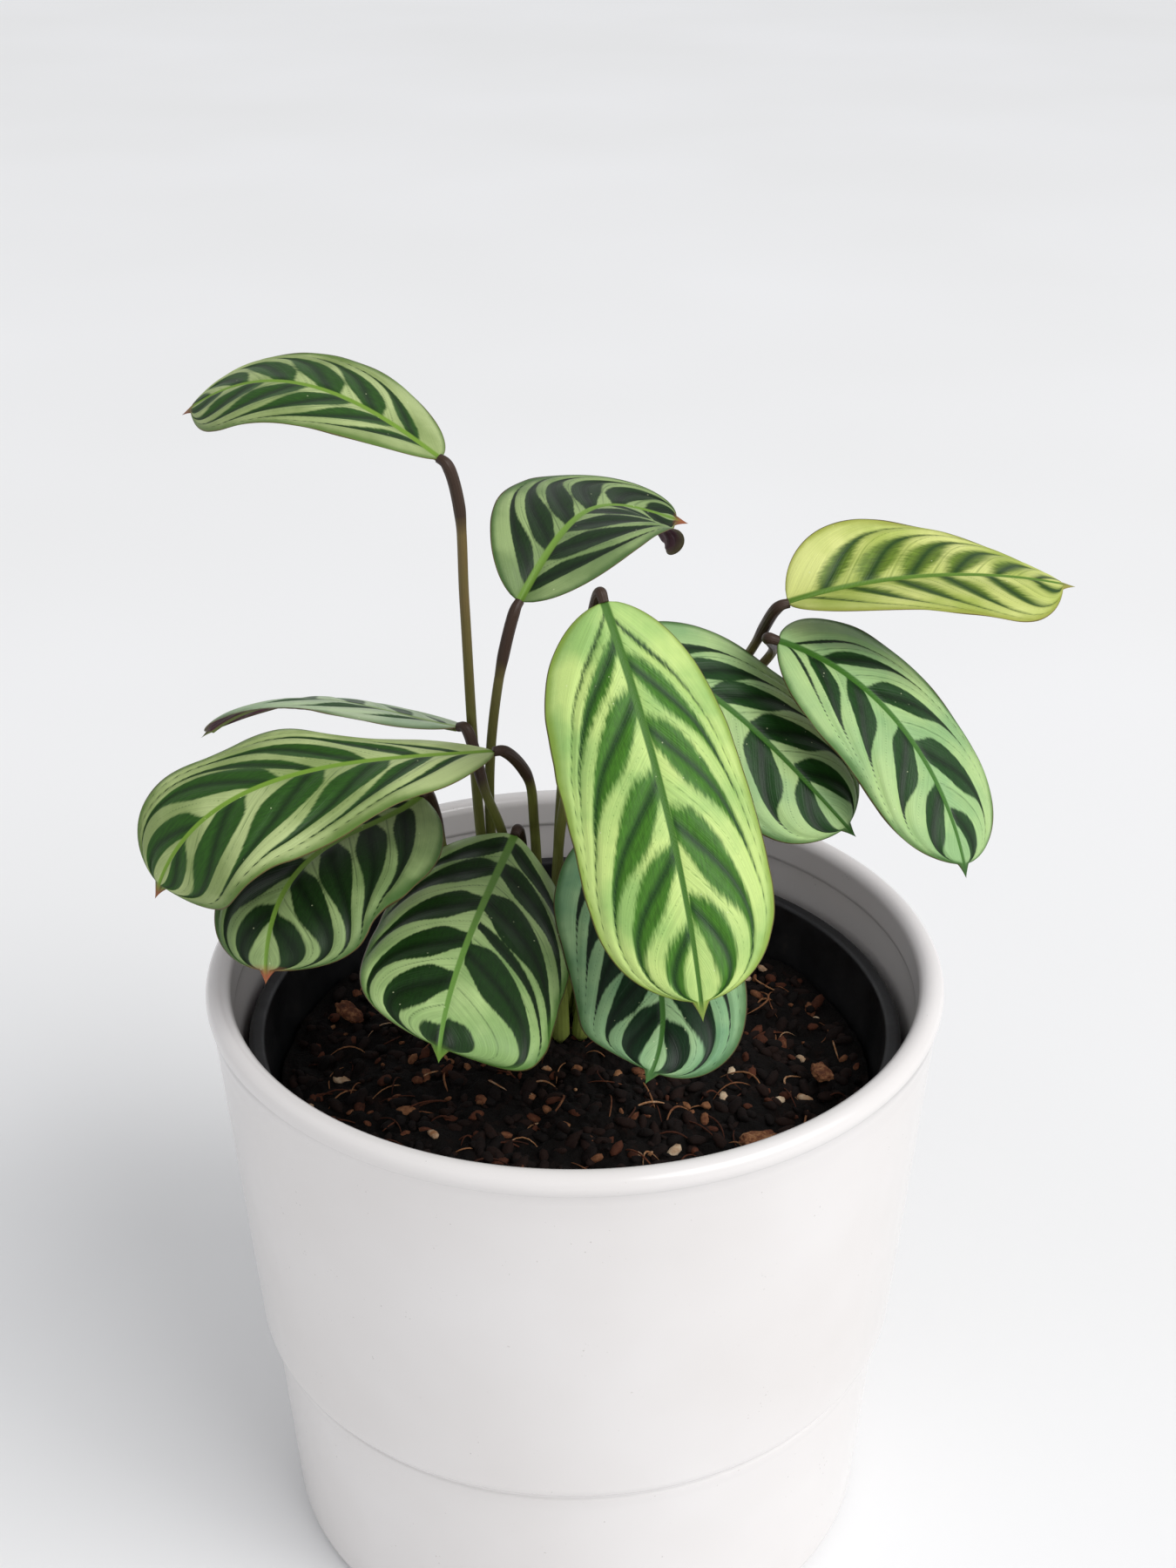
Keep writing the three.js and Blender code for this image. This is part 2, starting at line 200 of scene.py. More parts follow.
def cover_pot():
    """The pot's closed outline: foot, wall with its shoulder, rolled lip, and back down inside."""
    lip = COVER_WALL / 2 + 0.3
    middle = COVER_RIM_RADIUS - lip
    below = COVER_STEP_RADIUS - COVER_STEP_DEPTH
    wall_top = COVER_HEIGHT - 2 * lip
    outside = COVER_RIM_RADIUS - 0.7
    profile = densify([
        (0, 0),
        arc((COVER_FOOT_RADIUS - 3, 3), 3, -90, 0, 10),
        (below - 0.1, COVER_STEP_HEIGHT - 6),
        arc((below - 1, COVER_STEP_HEIGHT - 4.4), 1.2, 0, 35, 4),
        arc((COVER_STEP_RADIUS - 3, COVER_STEP_HEIGHT), 3, -50, 0, 10),
        (outside - 0.4, wall_top - 4),
        (outside, wall_top - 1),
        arc((middle, COVER_HEIGHT - lip), lip, -40, 180, 28),
        arc((outside - COVER_WALL - 1, wall_top - 2.5), 1, 40, 0, 5),
        (COVER_STEP_RADIUS - COVER_WALL, COVER_STEP_HEIGHT),
        (COVER_FOOT_RADIUS - COVER_WALL, COVER_FLOOR + 4),
        arc((COVER_FOOT_RADIUS - COVER_WALL - 4, COVER_FLOOR + 4), 4, 0, -90, 8),
        (0, COVER_FLOOR),
    ], 3)
    faces = quads(len(profile), COVER_STEPS, wrap=True)
    return build("cover_pot_glazed", turned(profile, COVER_STEPS), faces, [gloss_glaze()])


pot = cover_pot()
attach(pot, "root")
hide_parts("cover_pot")


# ---------------------------------------------------------------------------------------------------
# Nursery pot: a 12 cm trade pot, vacuum-formed from black polypropylene sheet. Its rolled rim stands
# clear of the cover pot's wall, and its floor has round drainage holes.

NURSERY_RIM_RADIUS = 61
NURSERY_RIM_TOP = 107
NURSERY_RIM_DEPTH = 7
NURSERY_RIM_LIP = 1.8
NURSERY_FOOT_RADIUS = 43
NURSERY_WALL = 1.2
NURSERY_FLOOR = COVER_FLOOR + 0.3
DRAIN_HOLES = 6
DRAIN_RADIUS = 4.5
DRAIN_CIRCLE = 30
DRAIN_STEPS = 24
NURSERY_STEPS = 240  # facets round it


def black_plastic():
    """Recycled black polypropylene: satin, faintly mottled, dusted with dry peat here and there."""
    material, tree, place = new_material("black_polypropylene")
    dust = node(tree, "TexNoise", {"Vector": place, "Scale": 90, "Detail": 6, "Roughness": 0.7})
    colour = node(tree, "ValToRGB", {"Fac": dust},
                  stops=[(0.45, "#121316"), (0.62, "#1B1B1D"), (0.8, "#3A322C")])
    grain = node(tree, "TexNoise", {"Vector": place, "Scale": 900, "Detail": 2})
    skin = node(tree, "Bump", {"Height": grain, "Strength": 0.15, "Distance": 0.2 * MM})
    matt = node(tree, "MapRange",
                {"Value": dust, "From Min": 0.3, "From Max": 0.8, "To Min": 0.34, "To Max": 0.7})
    shader = node(tree, "BsdfPrincipled",
                  {"Base Color": colour, "Roughness": matt, "IOR": 1.49, "Normal": skin})
    node(tree, "OutputMaterial", {"Surface": shader})
    return material


def nursery_pot():
    """The thin wall's closed outline turned round Z, then the drainage holes cut through its floor."""
    outer = NURSERY_RIM_RADIUS - NURSERY_RIM_LIP
    under = NURSERY_RIM_TOP - NURSERY_RIM_DEPTH
    inner_foot = NURSERY_FOOT_RADIUS - NURSERY_WALL
    profile = densify([
        (0, NURSERY_FLOOR),
        arc((NURSERY_FOOT_RADIUS - 2, NURSERY_FLOOR + 2), 2, -90, 0, 6),
        (outer - 0.4, under),
        arc((NURSERY_RIM_RADIUS - 0.6, under + 0.6), 0.6, -90, 0, 5),
        arc((NURSERY_RIM_RADIUS - 1.1, NURSERY_RIM_TOP - 1.1), 1.1, 0, 90, 8),
        arc((outer - NURSERY_WALL + 0.8, NURSERY_RIM_TOP - 0.8), 0.8, 90, 180, 6),
        (outer - 0.4 - NURSERY_WALL, under),
        arc((inner_foot - 1.2, NURSERY_FLOOR + NURSERY_WALL + 1.2), 1.2, 0, -90, 5),
        (0, NURSERY_FLOOR + NURSERY_WALL),
    ], 3)
    faces = quads(len(profile), NURSERY_STEPS, wrap=True)
    made = build("nursery_pot_moulded", turned(profile, NURSERY_STEPS), faces, [black_plastic()])
    angle = 2 * np.pi * (np.arange(DRAIN_HOLES) + 0.5) / DRAIN_HOLES
    for i, (x, y) in enumerate(DRAIN_CIRCLE * vectors(np.cos(angle), np.sin(angle))):
        rod = densify([(0, NURSERY_FLOOR - 2), (DRAIN_RADIUS, NURSERY_FLOOR - 2),
                       (DRAIN_RADIUS, NURSERY_FLOOR + 3), (0, NURSERY_FLOOR + 3)], 10)
        sides = quads(len(rod), DRAIN_STEPS, wrap=True)
        drill = build(f"drill_{i}", turned(rod, DRAIN_STEPS) + [x, y, 0], sides, [])
        cut = made.modifiers.new("drain_hole", "BOOLEAN")
        cut.object = drill
        cut.solver = "EXACT"
        bpy.context.view_layer.objects.active = made
        bpy.ops.object.modifier_apply(modifier=cut.name)
        bpy.data.objects.remove(drill)
    return made


inner_pot = nursery_pot()
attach(inner_pot, "root")
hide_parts("nursery_pot")


# ---------------------------------------------------------------------------------------------------
# Potting soil: dark peat with crumbs, root fibres, bits of bark and a few pale wood chips, pressed
# level round the clump and settled a little at the wall. It fills the nursery pot to below its rim.

SOIL_TOP = 98
SOIL_EDGE = 55.7  # radius where the peat meets the plastic wall
SOIL_FLOOR = NURSERY_FLOOR + NURSERY_WALL + 0.3
CRUMBS = 1500
FIBRES = 170
SOIL_RINGS = 165
SOIL_STEPS = 460
CRUMB_GRID = (6, 8)
FIBRE_GRID = (9, 6)
random = np.random.default_rng(7)


def noise(points, size, seed):
    """Smooth value noise from 0 to 1: random numbers at the corners of cells of this size in
    millimetres, blended between the eight corners with a smoothstep."""
    table = np.random.default_rng(seed).random((32, 32, 32))
    cell = np.floor(points / size).astype(int)
    share = points / size - cell
    share = share * share * (3 - 2 * share)
    total = np.zeros(points.shape[:-1])
    for corner in np.ndindex(2, 2, 2):
        index = (cell + corner) % 32
        weight = np.prod(np.where(corner, share, 1 - share), axis=-1)
        total += weight * table[index[..., 0], index[..., 1], index[..., 2]]
    return total


def soil_height(x, y):
    """Height of the peat: level crown, settled 2 mm at the wall, with clods, crumbs and pits."""
    radius = np.hypot(x, y)
    place = vectors(x, y, 0.0)
    settled = SOIL_TOP - 0.9 - 2.2 * np.clip((radius - 24) / 32, 0, 1) ** 1.5
    clods = 2.6 * (noise(place, 9, 1) - 0.5) + 1.6 * (noise(place, 3.6, 2) - 0.5)
    crumbs = 1.1 * (noise(place, 1.6, 3) - 0.5) + 0.5 * (noise(place, 0.8, 4) - 0.5)
    return settled + (clods + crumbs) * np.clip((SOIL_EDGE + 3 - radius) / 6, 0.2, 1)


def peat():
    """Sphagnum peat: matt, near black when damp, with red-brown and tan threads of half-rotted moss."""
    material, tree, place = new_material("damp_peat")
    clod = node(tree, "TexNoise", {"Vector": place, "Scale": 260, "Detail": 6, "Roughness": 0.65})
    colour = node(tree, "ValToRGB", {"Fac": clod},
                  stops=[(0.3, "#030201"), (0.55, "#0B0604"), (0.72, "#20110B"), (0.9, "#4A2E20")])
    rough = node(tree, "TexNoise", {"Vector": place, "Scale": 1400, "Detail": 3})
    skin = node(tree, "Bump", {"Height": rough, "Strength": 0.8, "Distance": 0.6 * MM})
    matt = node(tree, "MapRange", {"Value": clod, "To Min": 0.75, "To Max": 1.0})
    shader = node(tree, "BsdfPrincipled",
                  {"Base Color": colour, "Roughness": matt, "Specular IOR Level": 0.2, "Normal": skin})
    node(tree, "OutputMaterial", {"Surface": shader})
    return material


def crumb_finish():
    """Crumbs of bark and wood in the peat: each has its own tone, from near black to cream."""
    material, tree, place = new_material("bark_and_wood_crumbs")
    tone = node(tree, "Attribute", attribute_name="tone").outputs["Fac"]
    grain = node(tree, "TexNoise", {"Vector": place, "Scale": 700, "Detail": 4, "Roughness": 0.7})
    spread = node(tree, "Math", {0: grain, 1: 0.28, 2: -0.14}, operation="MULTIPLY_ADD")
    mixed = node(tree, "Math", {0: tone, 1: spread}, operation="ADD")
    colour = node(tree, "ValToRGB", {"Fac": mixed},
                  stops=[(0.0, "#080403"), (0.5, "#24120B"), (0.72, "#5C3220"), (0.86, "#A0714C"),
                         (0.97, "#D9C3A4")])
    skin = node(tree, "Bump", {"Height": grain, "Strength": 0.6, "Distance": 0.4 * MM})
    shader = node(tree, "BsdfPrincipled",
                  {"Base Color": colour, "Roughness": 0.85, "Specular IOR Level": 0.25, "Normal": skin})
    node(tree, "OutputMaterial", {"Surface": shader})
    return material


def soil_body():
    """A closed turned body whose top rows take their height from soil_height."""
    foot = NURSERY_FOOT_RADIUS - NURSERY_WALL - 0.3
    side = densify([(0, SOIL_FLOOR), (foot - 2.5, SOIL_FLOOR), (foot - 0.3, SOIL_FLOOR + 3),
                    (SOIL_EDGE, SOIL_TOP - 5)], 6)
    rings = np.linspace(SOIL_EDGE, 0, SOIL_RINGS)
    angle = full_circle(SOIL_STEPS)
    x, y = rings[:, None] * np.cos(angle), rings[:, None] * np.sin(angle)
    top = vectors(x, y, soil_height(x, y))
    points = np.concatenate([turned(side, SOIL_STEPS), top])
    return build("potting_soil_peat", points, quads(len(points), SOIL_STEPS, wrap=True), [peat()])


def scatter_on_soil(count, reach):
    """Random places on the peat, even over the disc: radius = reach * sqrt(random)."""
    radius = reach * np.sqrt(random.random(count))
    angle = 2 * np.pi * random.random(count)
    x, y = radius * np.cos(angle), radius * np.sin(angle)
    return vectors(x, y, soil_height(x, y))


def ball_grid(rows, columns):
    """A ball of radius 1: (sin p cos a, sin p sin a, -cos p), p from pole to pole and a round it."""
    polar = np.linspace(0, np.pi, rows)[:, None]
    angle = full_circle(columns)
    return vectors(np.sin(polar) * np.cos(angle), np.sin(polar) * np.sin(angle), -np.cos(polar))


def swung(x, y, angle):
    """The pair x, y turned by an angle: (x cos a - y sin a, x sin a + y cos a)."""
    return x * np.cos(angle) - y * np.sin(angle), x * np.sin(angle) + y * np.cos(angle)


def lumps(name, middles, sizes, tones, material):
    """Many small stones of few faces: a ball scaled three ways, dented by noise, leaned and turned."""
    ball = ball_grid(*CRUMB_GRID).reshape(1, -1, 3)
    count = len(middles)
    turn = 2 * np.pi * random.random((count, 1))
    lean = random.normal(0, 0.5, (count, 1))
    body = ball * sizes[:, None, :]
    body = body * (0.75 + 0.5 * noise(ball + 20 * middles[:, None, :], 0.9, 5))[..., None]
    x, y, z = body[..., 0], body[..., 1], body[..., 2]
    x, z = swung(x, z, lean)
    x, y = swung(x, y, turn)
    points = vectors(x, y, z) + middles[:, None, :]
    corners = math.prod(CRUMB_GRID)
    faces = quads(*CRUMB_GRID, wrap=True)[None] + corners * np.arange(count)[:, None, None]
    return build(name, points, faces.reshape(-1, 4), [material], {"tone": np.repeat(tones, corners)})


def soil_crumbs(material):
    """Crumbs of three kinds: many dark clods, some red-brown bark bits, a few pale wood chips."""
    middles = scatter_on_soil(CRUMBS, SOIL_EDGE - 2)
    kind = random.random(CRUMBS)
    tones = np.select([kind < 0.78, kind < 0.96], [random.uniform(0.0, 0.42, CRUMBS),
                      random.uniform(0.6, 0.8, CRUMBS)], random.uniform(0.84, 0.97, CRUMBS))
    long = random.uniform(0.5, 1.5, CRUMBS) * np.where(kind < 0.72, 1.1, 1.0)
    sizes = vectors(long * 1.5, long * 0.8, long * 0.6)
    return lumps("soil_crumbs", middles, sizes, tones, material)


def soil_fibres(material):
    """Root threads: a thin tube of six sides along an arch, bent sideways, ends in the peat."""
    share = np.linspace(-1, 1, FIBRE_GRID[0])[None, :, None]
    side = full_circle(FIBRE_GRID[1])
    middles = scatter_on_soil(FIBRES, SOIL_EDGE - 5)
    turn = 2 * np.pi * random.random((FIBRES, 1, 1))
    half = random.uniform(2, 5, (FIBRES, 1, 1))
    arch = random.uniform(0.4, 1.5, (FIBRES, 1, 1))
    bend = random.normal(0, 1.4, (FIBRES, 1, 1))
    thin = random.uniform(0.1, 0.22, (FIBRES, 1, 1)) * (1 - 0.8 * share**4)
    x = half * share + 0 * side
    y = bend * share**2 + thin * np.cos(side)
    z = arch * (1 - 1.6 * share**2) + thin * np.sin(side)
    x, y = swung(x, y, turn)
    points = vectors(x, y, z) + middles[:, None, None, :]
    corners = math.prod(FIBRE_GRID)
    faces = quads(*FIBRE_GRID, wrap=True)[None] + corners * np.arange(FIBRES)[:, None, None]
    tone = np.repeat(random.uniform(0.55, 0.9, FIBRES), corners)
    return build("soil_fibres", points, faces.reshape(-1, 4), [material], {"tone": tone})


crumb_material = crumb_finish()
soil = soil_body()
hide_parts("potting_soil")
for piece in (soil, soil_crumbs(crumb_material), soil_fibres(crumb_material)):
    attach(piece, "root")


# ---------------------------------------------------------------------------------------------------
# Bark chips: flat splinters of milled pine bark, weathered red-brown with paler torn edges, lying
# tilted on the peat.

CHIP_GRID = (36, 56)
CHIPS = [  # middle, length, turn about the vertical and tilt in degrees
    ((33, -30), 9, 35, 14), ((46, -8), 7, 100, 8), ((22, -40), 8, -20, 10), ((-30, -38), 7, 60, 12),
    ((-8, -48), 6, 15, 9), ((-44, 12), 7, -50, 10), ((30, 38), 8, 140, 11),
]


def pine_bark():
    """Milled pine bark: flaky layers, red-brown with tan breaks and dark cracks between the flakes."""
    material, tree, place = new_material("pine_bark")
    layers = node(tree, "TexNoise", {"Vector": place, "Scale": 420, "Detail": 6, "Roughness": 0.75})
    colour = node(tree, "ValToRGB", {"Fac": layers},
                  stops=[(0.3, "#2A130B"), (0.48, "#6B3D26"), (0.6, "#A2724C"), (0.75, "#D2B088")])
    skin = node(tree, "Bump", {"Height": layers, "Strength": 0.9, "Distance": 0.8 * MM})
    matt = node(tree, "MapRange", {"Value": layers, "To Min": 0.7, "To Max": 0.95})
    shader = node(tree, "BsdfPrincipled",
                  {"Base Color": colour, "Roughness": matt, "Specular IOR Level": 0.3, "Normal": skin})
    node(tree, "OutputMaterial", {"Surface": shader})
    return material


def bark_chip(name, middle, length, turn, tilt, material):
    """A flat squared ball, torn at its rim by noise, then tilted, turned and laid on the peat."""
    ball = ball_grid(*CHIP_GRID)
    ball = np.sign(ball) * np.abs(ball) ** 0.8
    place = ball * 3 + np.array([*middle, 0.0])
    torn = 0.72 + 0.34 * noise(place, 1.3, 11) + 0.16 * noise(place, 0.5, 12)
    body = ball * torn[..., None] * (0.5 * length * np.array([1, 0.52, 0.26]))
    tilt, turn = np.radians(tilt), np.radians(turn)
    x, y, z = body[..., 0], body[..., 1], body[..., 2]
    x, z = swung(x, z, -tilt)
    x, y = swung(x, y, turn)
    rise = SOIL_TOP + 0.1 * length + 0.4 * length * np.sin(tilt)
    points = vectors(x, y, z) + np.array([*middle, rise])
    return build(name, points, quads(*CHIP_GRID, wrap=True), [material])


bark_material = pine_bark()
for number, chip in enumerate(CHIPS, start=1):
    piece = bark_chip(f"bark_chip_{number}_torn", *chip, bark_material)
    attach(piece, "root")
    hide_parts(f"bark_chip_{number}")


# ---------------------------------------------------------------------------------------------------
# Leaves: each blade is one thin living sheet, held by a midrib that runs on into its stem. The upper
# side is pale with dark bands along the side veins; the underside is wine-purple.

SHOULDER = 0.45  # share of the length where a blade is widest
CUSP_START = 0.955  # share of the length where the pointed tip begins
CUSP_LENGTH = 0.075  # share of the length that the pointed tip tapers over
CUSP_HALF = 0.17
BLADE_THICKNESS = 0.5
BLADE_ROWS = 140
TIP_ROWS = 50  # further rows, in the last tenth of the length
BLADE_COLUMNS = 76
BAND_LINE = 0.35  # mm: half width of the thin line that a band narrows to
# rib: points of the midrib from base to tip. half, fold, curl and sweep are for the two halves, the
# last three at base and tip. face: azimuth and elevation that the upper side looks at. bands: where
# each half's dark bands leave the midrib, and their size. look: the blade's own colouring.
LEAVES = [
    dict(rib=[(-23, 12, 212), (-36, 18, 219), (-52, 24, 222), (-70, 30, 214)], half=(14, 14),
         face=[(0, 80), (0, 76), (0, 74)], fold=[(25, -5), (-8, 0)], curl=[(-10, -10), (-15, -15)],
         ends=(1.8, 3.4), stem=[(-14, 11, 98), (-18, 14, 142), (-19.5, 13, 185), (-20, 12, 204)],
         bands=[[(0.06, 0.5), (0.2, 0.9), (0.36, 1), (0.52, 1), (0.67, 0.9), (0.82, 0.8)],
                [(0.1, 0.6), (0.26, 1), (0.42, 1.1), (0.58, 1), (0.74, 0.9), (0.88, 0.6)]], look="olive"),
    dict(rib=[(-10, 18, 183), (-1, 36, 191), (8, 52, 189), (22, 55.5, 184)], half=(14, 17),
         face=[(30, 55), (20, 70), (10, 70)], fold=[(20, 30), (0, 0)], curl=[(-10, -5), (-20, -15)],
         ends=(2.2, 3.6), sweep=(0, 0.2), stem=[(-12, 14, 98), (-16, 15, 142), (-14, 14, 168)],
         bands=[[(0.08, 0.8), (0.24, 1), (0.4, 1), (0.56, 1), (0.72, 0.9), (0.86, 0.7)],
                [(0.05, 0.7), (0.2, 1), (0.36, 1), (0.52, 1), (0.68, 1), (0.84, 0.8)]], look="deep"),
    dict(rib=[(5, -8, 194), (11, -20, 179), (17, -35, 160), (21, -50, 138)], half=(16, 16.5),
         face=[(20, 40), (10, 35), (0, 30)], fold=[(0, 0), (0, 0)], curl=[(-35, -35), (-20, -20)],
         ends=(3, 5), stem=[(-3, 4, 98), (-3, 5, 140), (2, 3, 172), (3, -2, 187)],
         bands=[[(0.03, 0.15), (0.145, 0.75), (0.31, 0.95), (0.535, 1.15), (0.73, 0.9)],
                [(0.0, 0.1), (0.09, 0.55), (0.24, 0.95), (0.44, 1.0), (0.61, 0.85), (0.79, 0.6)]],
         look="lime"),
    dict(rib=[(7, 12, 177), (22, 8, 171), (35, 2, 162), (50, -6, 148)], half=(15.5, 14.5),
         face=[(30, 50), (30, 45), (30, 40)], fold=[(0, 0), (0, 0)], curl=[(-25, -25), (-25, -25)],
         ends=(2.8, 4.5), stem=[(-2, 13, 98), (-3, 13, 140), (1, 15, 170)],
         bands=[[(0.08, 0.6), (0.22, 0.9), (0.36, 1), (0.53, 1.1), (0.72, 1)],
                [(0.12, 0.7), (0.33, 1), (0.55, 1.2), (0.76, 0.9)]], look="mint"),
    dict(rib=[(36, 10, 179), (53, 6, 170), (64, -2, 157), (69, -12, 143)], half=(15.5, 14),
         face=[(30, 60), (40, 50), (40, 25)], fold=[(0, 0), (0, 0)], curl=[(-20, -20), (-20, -20)],
         ends=(2.8, 4.2), stem=[(1, 10, 98), (6, 23, 138), (23, 22, 156), (36, 22, 171)],
         bands=[[(0.04, 0.1), (0.16, 0.55), (0.34, 0.9), (0.57, 1.1), (0.79, 0.7)],
                [(0.01, 0.1), (0.11, 0.7), (0.27, 0.9), (0.5, 1.05), (0.71, 0.9)]], look="mint"),
    dict(rib=[(38, 15, 184), (55, 18, 187), (73, 21, 187), (91, 23, 184)], half=(14, 14),
         face=[(0, 62), (0, 77), (0, 79)], fold=[(40, 40), (-15, -15)], curl=[(-10, -10), (-10, -10)],
         ends=(2.8, 4), stem=[(0, 15, 98), (10, 29, 140), (31, 25, 168)],
         bands=[[(0.12, 0.8), (0.27, 1), (0.42, 1), (0.57, 0.9), (0.72, 0.7), (0.86, 0.4)],
                [(0.05, 0.2), (0.2, 0.6), (0.36, 0.7), (0.52, 0.7), (0.68, 0.6), (0.84, 0.4)]],
         look="golden"),
    dict(rib=[(-14, -2, 163), (-36, -12, 166), (-57, -22, 164), (-71, -26, 147)], half=(16.5, 15.5),
         face=[(0, 86), (-5, 75), (-30, 45)], fold=[(15, -5), (-10, 0)], curl=[(-15, -15), (-15, -15)],
         ends=(1.4, 5), sweep=(0.2, 0.25), wave=1.2, stem=[(-6, 8, 98), (-7.5, 9, 142), (-8.5, 4, 155)],
         bands=[[(0.05, 0.3), (0.17, 0.6), (0.3, 1), (0.47, 1.1), (0.67, 1.1), (0.84, 0.8)],
                [(0.08, 0.3), (0.2, 0.6), (0.35, 0.8), (0.47, 0.4), (0.58, 1.1), (0.78, 1)]], look="olive"),
    dict(rib=[(-21, 12, 161), (-37, 22, 160), (-55, 30, 158), (-73, 36, 147)], half=(12.5, 12.5),
         face=[(0, 110), (0, 112), (0, 104)], fold=[(0, 0), (0, 0)], curl=[(-10, -10), (-10, -10)],
         ends=(1.8, 2.6), stem=[(-12, 7, 98), (-13, 9.5, 138), (-16.5, 8.5, 150)],
         bands=[[(0.1, 0.7), (0.28, 1), (0.46, 1), (0.64, 1), (0.8, 0.8)],
                [(0.05, 0.4), (0.2, 0.9), (0.38, 1), (0.55, 1), (0.72, 0.9)]], look="silver"),
    dict(rib=[(-28, 6, 150), (-38, -7, 150), (-48, -20, 148), (-52, -34, 135)], half=(17.5, 14),
         face=[(-20, 70), (-30, 60), (-20, 30)], fold=[(0, 0), (0, 0)], curl=[(-20, -20), (-20, -20)],
         ends=(2.2, 5), sweep=(0.15, 0), stem=[(-16, 5, 98), (-23, 8, 128), (-26, 10, 145)],
         bands=[[(0.1, 0.8), (0.27, 1), (0.45, 1.1), (0.62, 1.1), (0.79, 0.8)],
                [(0.06, 0.6), (0.22, 1), (0.4, 1.1), (0.58, 1.1), (0.76, 0.8)]], look="deep"),
    dict(rib=[(-11, 6, 142), (-16, -16, 140), (-20, -38, 138), (-22, -50, 130)], half=(19, 18),
         face=[(-5, 80), (-5, 75), (-5, 60)], fold=[(-8, 0), (-8, 0)], curl=[(-35, -20), (-30, -20)],
         ends=(3, 6), sweep=(0.4, -0.2), stem=[(-8, 3, 98), (-10, 10, 120), (-10, 11, 136)],
         bands=[[(0.05, 0.6), (0.17, 0.9), (0.35, 1.3), (0.47, 0.35), (0.61, 1.3), (0.9, 1)],
                [(0.05, 0.8), (0.18, 0.9), (0.37, 1), (0.56, 1), (0.74, 1), (0.92, 0.8)]], look="broad"),
    dict(rib=[(6, 2, 146), (11, -14, 138), (15, -30, 130), (12, -43, 121)], half=(15.5, 15),
         face=[(0, 60), (0, 60), (0, 40)], fold=[(0, 10), (0, 0)], curl=[(-20, -10), (-20, -20)],
         ends=(2.6, 5), sweep=(0, 0.12), stem=[(1, 5, 98), (4, 9, 125), (4, 8, 142)],
         bands=[[(0.08, 0.8), (0.25, 1), (0.43, 1.1), (0.62, 1.1), (0.8, 0.9)],
                [(0.05, 0.7), (0.2, 1), (0.38, 1.1), (0.56, 1.1), (0.74, 1)]], look="blue"),
]
# Colouring of a blade: pale ground and its second tone, dark band and its centre line, midrib, margin
# and the tip's point; belly: half width of a band as a share of the length; reach: how far out it
# stays wide; lean: how far a side vein runs towards the tip; soft and fray: edge of a band in mm.
LOOKS = {
    "lime": dict(
        pale="#BFD780", second="#93B968", dark="#3B6B18", line="#143A0A", rib="#3F6B1C",
        margin="#7F9A33", point="#7F9540", belly=0.074, reach=0.95, lean=1.0, soft=1.2, fray=1.5),
    "golden": dict(
        pale="#CCD27F", second="#A3B254", dark="#5C7420", line="#22400B", rib="#5C7F2B",
        margin="#929A38", point="#98904A", belly=0.06, reach=0.95, lean=0.7, soft=1.2, fray=0.9),
    "mint": dict(
        pale="#ABC885", second="#8CB277", dark="#133A0C", line="#0A2507", rib="#3C6C20",
        margin="#35611C", point="#2A531A", belly=0.07, reach=0.8, lean=0.95, soft=0.35, fray=0.35),
    "olive": dict(
        pale="#A8B87C", second="#83965A", dark="#22480C", line="#122D07", rib="#6F9230",
        margin="#4C6C20", point="#8A4B34", belly=0.068, reach=1.0, lean=0.85, soft=0.45, fray=0.4),
    "broad": dict(
        pale="#A3BD7C", second="#7F9F5F", dark="#133009", line="#0A1F05", rib="#61893A",
        margin="#3E6620", point="#5E7F2A", belly=0.068, reach=1.2, lean=0.5, soft=0.35, fray=0.4),
    "deep": dict(
        pale="#8FA56C", second="#6F8752", dark="#122B0A", line="#091C06", rib="#6A8C35",
        margin="#31551B", point="#9A5138", belly=0.07, reach=1.1, lean=0.75, soft=0.4, fray=0.35),
    "silver": dict(
        pale="#B4C6A0", second="#8FA988", dark="#2A4A22", line="#183414", rib="#86A060",
        margin="#5B7448", point="#6A5A3C", belly=0.05, reach=0.9, lean=0.8, soft=0.5, fray=0.4),
    "blue": dict(
        pale="#9CC08A", second="#6B9A70", dark="#0D2A12", line="#071B0B", rib="#3F6C2C",
        margin="#35602A", point="#3E6B30", belly=0.074, reach=0.9, lean=0.95, soft=0.45, fray=0.5),
}


def cubic(points, t):
    """The one cubic through four points at t = 0, 1/3, 2/3 and 1, by Lagrange's weights."""
    weights = [-4.5 * (t - 1 / 3) * (t - 2 / 3) * (t - 1), 13.5 * t * (t - 2 / 3) * (t - 1),
               -13.5 * t * (t - 1 / 3) * (t - 1), 4.5 * t * (t - 1 / 3) * (t - 2 / 3)]
    return sum(weight[:, None] * np.array(point, float) for weight, point in zip(weights, points))


def unit(directions):
    """Each vector divided by its length."""
    return directions / np.linalg.norm(directions, axis=-1, keepdims=True)


def towards(azimuth, elevation):
    """Unit vector that points to an azimuth from the front and an elevation, both in degrees."""
    az, el = math.radians(azimuth), math.radians(elevation)
    return np.array([math.sin(az) * math.cos(el), -math.cos(az) * math.cos(el), math.sin(el)])


def smooth(start, end, value):
    """0 before start, 1 after end, and a smoothstep between."""
    share = np.clip((value - start) / (end - start), 0, 1)
    return share * share * (3 - 2 * share)


def midrib(spec, u):
    """Place and direction of the midrib at shares u of its length: the cubic, walked by its length."""
    t = np.linspace(0, 1, 400)
    path = cubic(spec["rib"], t)
    walked = walked_along(path)
    at = np.interp(u * walked[-1], walked, t)
    ahead, behind = cubic(spec["rib"], at + 1e-3), cubic(spec["rib"], at - 1e-3)
    return cubic(spec["rib"], at), unit(ahead - behind), walked[-1]


